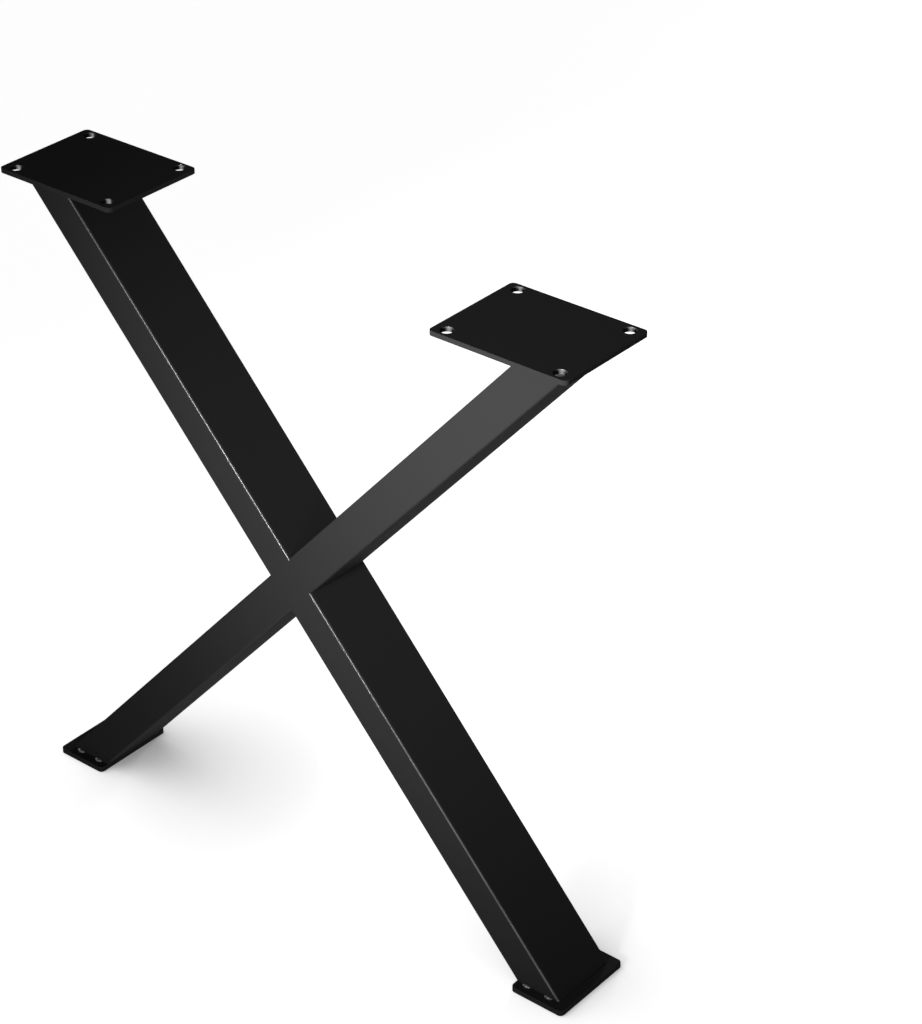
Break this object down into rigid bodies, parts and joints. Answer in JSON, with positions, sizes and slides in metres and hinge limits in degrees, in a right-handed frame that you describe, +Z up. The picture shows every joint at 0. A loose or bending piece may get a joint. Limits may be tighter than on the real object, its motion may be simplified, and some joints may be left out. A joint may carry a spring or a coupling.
{
  "type": "table leg",
  "caption": "X shaped metal table leg of crossed rectangular tubes, with drilled plates on top for a table top and small flat foot plates below.",
  "frame": {"origin": "on the floor, midway between the two feet and midway through the depth of the leg", "axes": "+X across the X from the foot under the half tube to the foot under the through tube, +Y through the depth of the tubes, +Z up"},
  "size_m": [0.7, 0.12, 0.71],
  "materials": {
    "black_coat": "fine satin black powder coat over welded steel"
  },
  "bodies": {
    "root": {"through_tube": "black_coat", "upper_half_tube": "black_coat", "lower_half_tube": "black_coat", "top_plate_left": "black_coat", "top_plate_right": "black_coat", "foot_plate_left": "black_coat", "foot_plate_right": "black_coat"}
  },
  "joints": []
}
